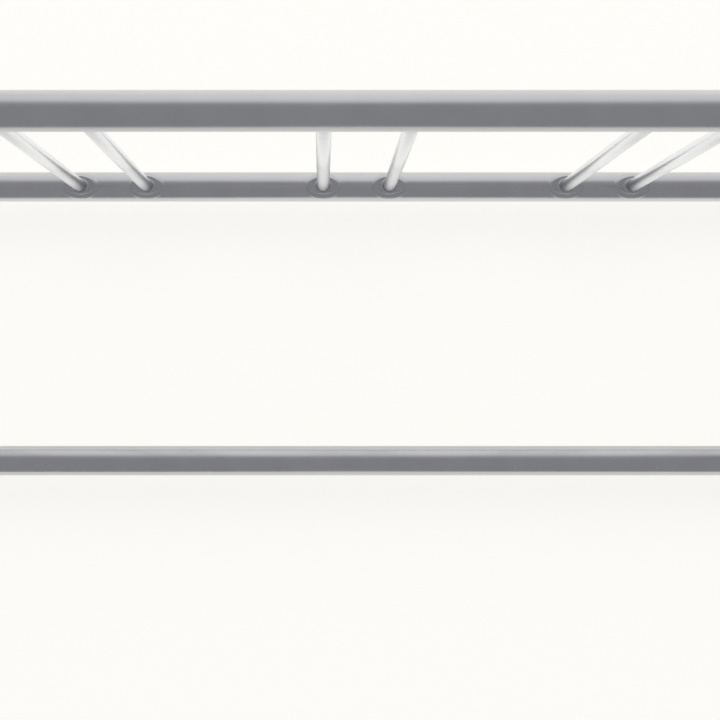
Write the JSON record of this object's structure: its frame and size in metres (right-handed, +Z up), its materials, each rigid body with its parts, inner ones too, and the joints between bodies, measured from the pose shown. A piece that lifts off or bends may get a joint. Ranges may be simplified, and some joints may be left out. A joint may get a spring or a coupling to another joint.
{
  "type": "commercial bike rack",
  "caption": "Floor-mounted single-sided bicycle rack of grey steel tube: a high rail over a rear floor rail with paired wheel bars, a front floor rail and bent end hoops on bolt-down flanges.",
  "frame": {"origin": "centre of the rack's footprint, on the floor", "axes": "+X along the rails to the right as seen from the parking side, +Y towards the rear, away from the parked bicycle, +Z up"},
  "size_m": [1.67, 0.464, 0.8889],
  "materials": {
    "rail_steel": "satin grey steel, smooth, drawn tube",
    "bar_steel": "satin grey steel, smooth, small tube",
    "hoop_steel": "satin grey steel, smooth, bent tube",
    "flange_steel": "satin grey steel plate",
    "spigot_steel": "satin grey steel, turned",
    "bolt_steel": "bright plated fasteners",
    "weld_steel": "dressed weld bead with faint ripples, satin grey"
  },
  "bodies": {
    "root": {"top_rail": "rail_steel", "rear_floor_rail": "rail_steel", "front_floor_rail": "rail_steel", "wheel_bar_1_left": "bar_steel", "wheel_bar_1_right": "bar_steel", "wheel_bar_2_left": "bar_steel", "wheel_bar_2_right": "bar_steel", "wheel_bar_3_left": "bar_steel", "wheel_bar_3_right": "bar_steel", "wheel_bar_4_left": "bar_steel", "wheel_bar_4_right": "bar_steel", "wheel_bar_5_left": "bar_steel", "wheel_bar_5_right": "bar_steel", "left_end_hoop": "hoop_steel", "right_end_hoop": "hoop_steel", "left_rear_flange": "flange_steel", "left_front_flange": "flange_steel", "right_rear_flange": "flange_steel", "right_front_flange": "flange_steel", "left_top_spigot": "spigot_steel", "left_rear_spigot": "spigot_steel", "left_front_spigot": "spigot_steel", "right_top_spigot": "spigot_steel", "right_rear_spigot": "spigot_steel", "right_front_spigot": "spigot_steel", "joint_bolts": "bolt_steel", "joint_saddle_washers": "bolt_steel", "joint_cap_nuts": "bolt_steel", "bar_welds_lower": "weld_steel", "bar_welds_upper": "weld_steel", "flange_welds": "weld_steel", "spigot_welds": "weld_steel"}
  },
  "joints": []
}
